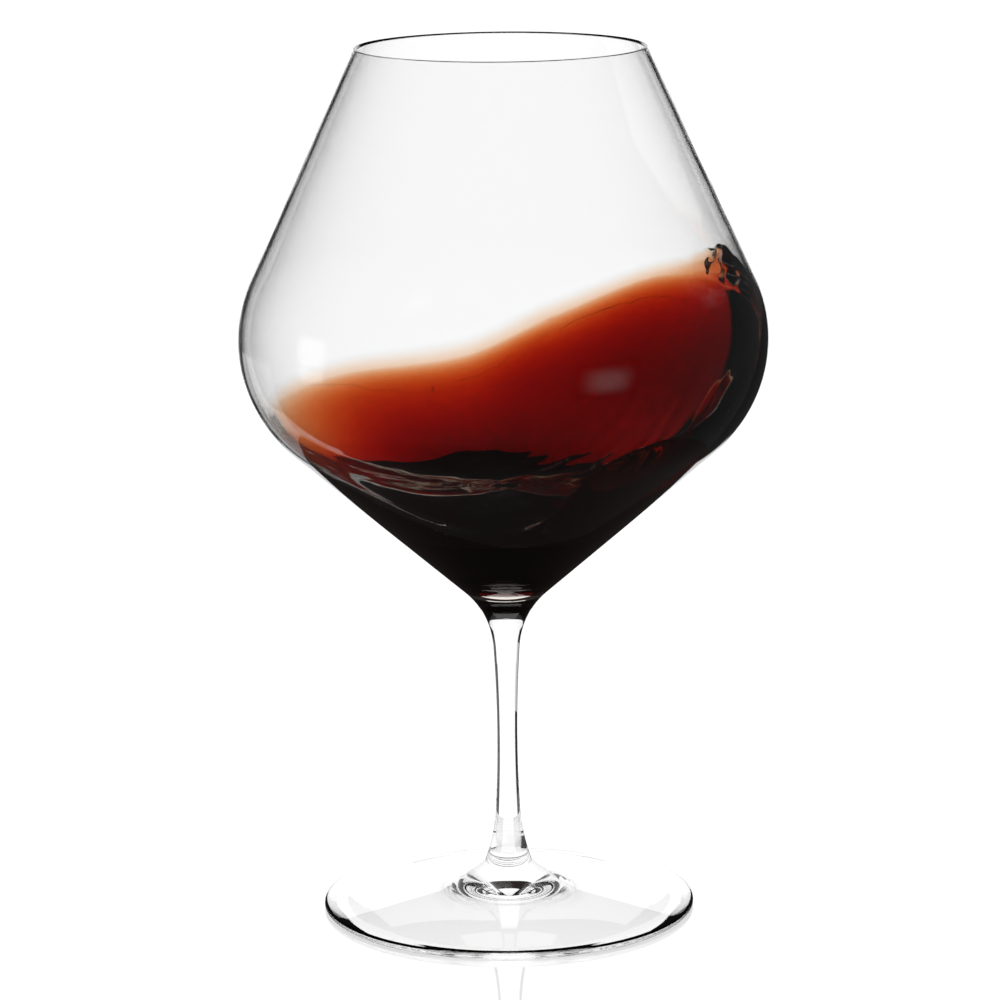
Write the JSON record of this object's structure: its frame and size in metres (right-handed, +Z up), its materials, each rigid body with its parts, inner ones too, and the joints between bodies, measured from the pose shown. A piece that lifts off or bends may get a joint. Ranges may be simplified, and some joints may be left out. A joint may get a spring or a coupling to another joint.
{
  "type": "wine glass",
  "caption": "Stemmed glass with a wide angular bowl, tapered mouth, slim drawn stem and round foot, holding red wine that swirls in the bowl.",
  "frame": {"origin": "centre of the foot's resting ring, on the surface that the glass stands on", "axes": "+Z up along the glass's own axis, +X towards the crest of the wine's wave, -Y towards the viewer"},
  "size_m": [0.1264, 0.1264, 0.21],
  "materials": {
    "clear_glass": "clear lead-free crystal, fire-polished",
    "red_wine": "clear dark red liquid, orange where it is thin"
  },
  "bodies": {
    "glass": {"bowl": "clear_glass", "stem": "clear_glass", "foot": "clear_glass"},
    "wine": {"wine": "red_wine"}
  },
  "joints": [
    {"name": "wine_swirl", "type": "hinge", "parent": "glass", "child": "wine", "pos_m": [0, 0, 0.103], "axis": [0, 0, 1], "continuous": true}
  ]
}
